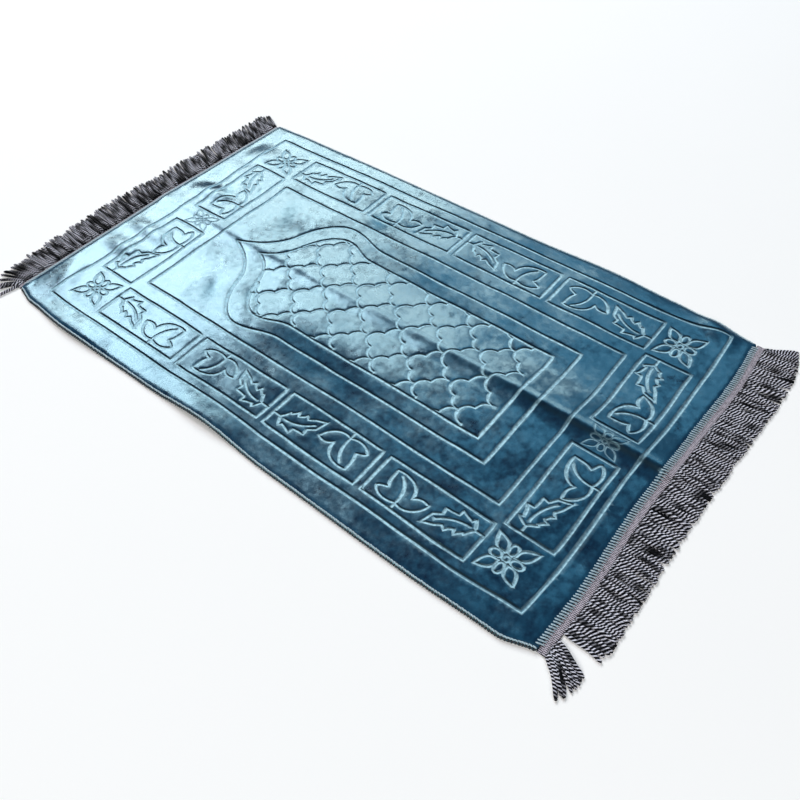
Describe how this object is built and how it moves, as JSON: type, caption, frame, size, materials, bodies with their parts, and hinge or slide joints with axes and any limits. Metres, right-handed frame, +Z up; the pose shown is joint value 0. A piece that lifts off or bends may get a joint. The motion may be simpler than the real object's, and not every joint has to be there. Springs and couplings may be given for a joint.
{
  "type": "prayer rug",
  "caption": "Padded velvet prayer rug pressed with a pointed arch and flower borders, lying flat with a soft long fold, fringed at both short ends.",
  "frame": {"origin": "on the floor under the middle of the whole part's box, fringes included", "axes": "+Z up from the floor, +Y along the rug from the near short end to the short end its arch points to, +X across it"},
  "size_m": [0.731, 1.2626, 0.0172],
  "materials": {
    "velvet_teal": "pressed velvet pile with a soft sheen",
    "twisted_yarn_grey": "matte twisted yarn"
  },
  "bodies": {
    "root": {"rug_cloth": "velvet_teal", "fringe_near": "twisted_yarn_grey", "fringe_far": "twisted_yarn_grey"}
  },
  "joints": []
}
